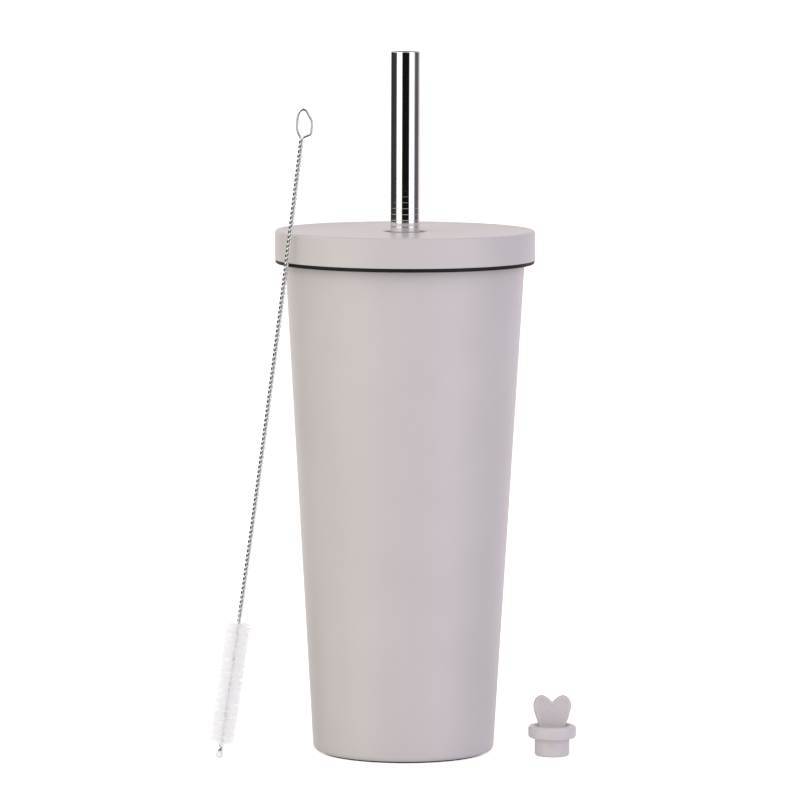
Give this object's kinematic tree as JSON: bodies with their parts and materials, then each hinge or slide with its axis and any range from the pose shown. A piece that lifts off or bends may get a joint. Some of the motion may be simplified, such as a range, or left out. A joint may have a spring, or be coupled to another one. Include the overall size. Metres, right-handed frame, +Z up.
{
  "type": "insulated straw tumbler",
  "caption": "Tapered double-wall steel drinking tumbler with a flat screw lid and a metal straw, plus a straw-hole plug and a straw-cleaning brush.",
  "frame": {"origin": "centre of the underside of the cup's non-slip pad, on the cup's axis", "axes": "+Z up along the cup's axis towards the straw; -Y is the front, which faces the viewer; +X is the viewer's right, where the plug stands"},
  "size_m": [0.146, 0.1036, 0.2797],
  "materials": {
    "powder_coat": "fine matte powder coat",
    "brushed_steel": "satin stainless",
    "polished_steel": "mirror polished stainless",
    "wire_steel": "bright drawn wire",
    "black_plastic": "satin moulded",
    "dark_silicone": "matte",
    "clear_silicone": "translucent",
    "grey_silicone": "translucent matte",
    "solder_glass": "glossy",
    "getter_metal": "sintered",
    "clear_nylon": "translucent"
  },
  "bodies": {
    "cup": {"outer_shell": "powder_coat", "inner_liner": "brushed_steel", "base_plate": "brushed_steel", "port_bead": "solder_glass", "getter": "getter_metal", "base_pad": "dark_silicone"},
    "seal": {"lid_seal": "clear_silicone"},
    "lid": {"lid_cap": "powder_coat", "lid_liner": "black_plastic", "straw_grommet": "dark_silicone"},
    "straw": {"straw": "polished_steel"},
    "plug": {"straw_plug": "grey_silicone"},
    "brush": {"brush_wire": "wire_steel", "brush_bristles": "clear_nylon", "brush_tip": "clear_nylon"}
  },
  "joints": [
    {"name": "lid_rise", "type": "slide", "parent": "cup", "child": "seal", "axis": [0, 0, 1], "range_m": [0, 0.009]},
    {"name": "lid_turn", "type": "hinge", "parent": "seal", "child": "lid", "pos_m": [0, 0, 0.199], "axis": [0, 0, 1], "range_deg": [0, 810]},
    {"name": "straw_slide", "type": "slide", "parent": "lid", "child": "straw", "axis": [0, 0, 1], "range_m": [0, 0.18]},
    {"name": "plug_lift", "type": "slide", "parent": "cup", "child": "plug", "axis": [0, 0, 1], "range_m": [0, 0.06]},
    {"name": "brush_lift", "type": "slide", "parent": "cup", "child": "brush", "axis": [0, 0, 1], "range_m": [0, 0.1]}
  ],
  "couplings": [
    {"joint": "lid_turn", "follows": "lid_rise", "rad_per_m": 1570.8}
  ]
}
